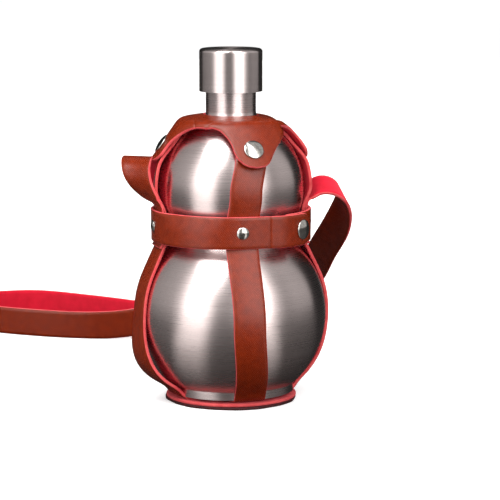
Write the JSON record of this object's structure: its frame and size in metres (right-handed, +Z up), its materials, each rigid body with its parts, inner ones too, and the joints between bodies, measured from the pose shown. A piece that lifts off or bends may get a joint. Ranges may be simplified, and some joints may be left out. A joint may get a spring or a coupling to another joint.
{
  "type": "water bottle",
  "caption": "Gourd-shaped steel water bottle with a screw cap, in a leather harness with a waist belt, a snapped collar and a long shoulder strap.",
  "frame": {"origin": "on the ground under the flask's axis", "axes": "+Z up along the flask's axis, -Y towards the front strap, +X to the viewer's right"},
  "size_m": [0.2862, 0.3763, 0.2301],
  "materials": {
    "brushed_steel": "satin, brushed round the axis",
    "bright_metal": "polished",
    "brown_leather": "coated, fine diagonal grain, slight sheen",
    "red_leather": "suede",
    "dark_leather": "matt",
    "black_plastic": "moulded",
    "seal": "silicone"
  },
  "bodies": {
    "root": {"lower_bulb": "brushed_steel", "upper_bulb": "brushed_steel", "neck_ring": "brushed_steel", "base_plate": "brushed_steel", "base_sole": "dark_leather", "base_pad": "red_leather", "base_rivets": "bright_metal", "strap_front": "brown_leather", "strap_right": "brown_leather", "strap_back": "brown_leather", "strap_left": "brown_leather", "belt": "brown_leather", "belt_rivets": "bright_metal", "snap_studs": "bright_metal", "collar_ring": "brown_leather", "shoulder_strap": "brown_leather"},
    "cap_lifted": {"cap_liner": "seal", "cap_gasket": "seal"},
    "cap_turned": {"cap_shell": "brushed_steel", "cap_insert": "black_plastic"},
    "lobe_front": {"tab_front": "brown_leather", "tab_front_cap": "bright_metal", "tab_front_socket": "bright_metal"},
    "lobe_right": {"tab_right": "brown_leather", "tab_right_cap": "bright_metal", "tab_right_socket": "bright_metal"},
    "lobe_back": {"tab_back": "brown_leather", "tab_back_cap": "bright_metal", "tab_back_socket": "bright_metal"},
    "lobe_left": {"tab_left": "brown_leather", "tab_left_cap": "bright_metal", "tab_left_socket": "bright_metal"},
    "flap": {"belt_flap": "brown_leather", "belt_flap_cap": "bright_metal", "belt_flap_socket": "bright_metal"}
  },
  "joints": [
    {"name": "cap_lift", "type": "slide", "parent": "root", "child": "cap_lifted", "axis": [0, 0, 1], "range_m": [0, 0.045]},
    {"name": "cap_turn", "type": "hinge", "parent": "cap_lifted", "child": "cap_turned", "pos_m": [0, 0, 0.22997], "axis": [0, 0, 1], "continuous": true},
    {"name": "lobe_front_lift", "type": "hinge", "parent": "root", "child": "lobe_front", "pos_m": [0.01, -0.02987, 0.18549], "axis": [-0.9483, -0.3173, 0], "range_deg": [0, 75]},
    {"name": "lobe_right_lift", "type": "hinge", "parent": "root", "child": "lobe_right", "pos_m": [0.02978, 0.01026, 0.18549], "axis": [0.3256, -0.9455, 0], "range_deg": [0, 75]},
    {"name": "lobe_back_lift", "type": "hinge", "parent": "root", "child": "lobe_back", "pos_m": [-0.00921, 0.03012, 0.18549], "axis": [0.9563, 0.2924, 0], "range_deg": [0, 75]},
    {"name": "lobe_left_lift", "type": "hinge", "parent": "root", "child": "lobe_left", "pos_m": [-0.0313, -0.00357, 0.18549], "axis": [-0.1132, 0.9936, 0], "range_deg": [0, 75]},
    {"name": "flap_open", "type": "hinge", "parent": "root", "child": "flap", "pos_m": [0.03136, -0.04014, 0.116], "axis": [0, 0, -1], "range_deg": [0, 70]}
  ]
}
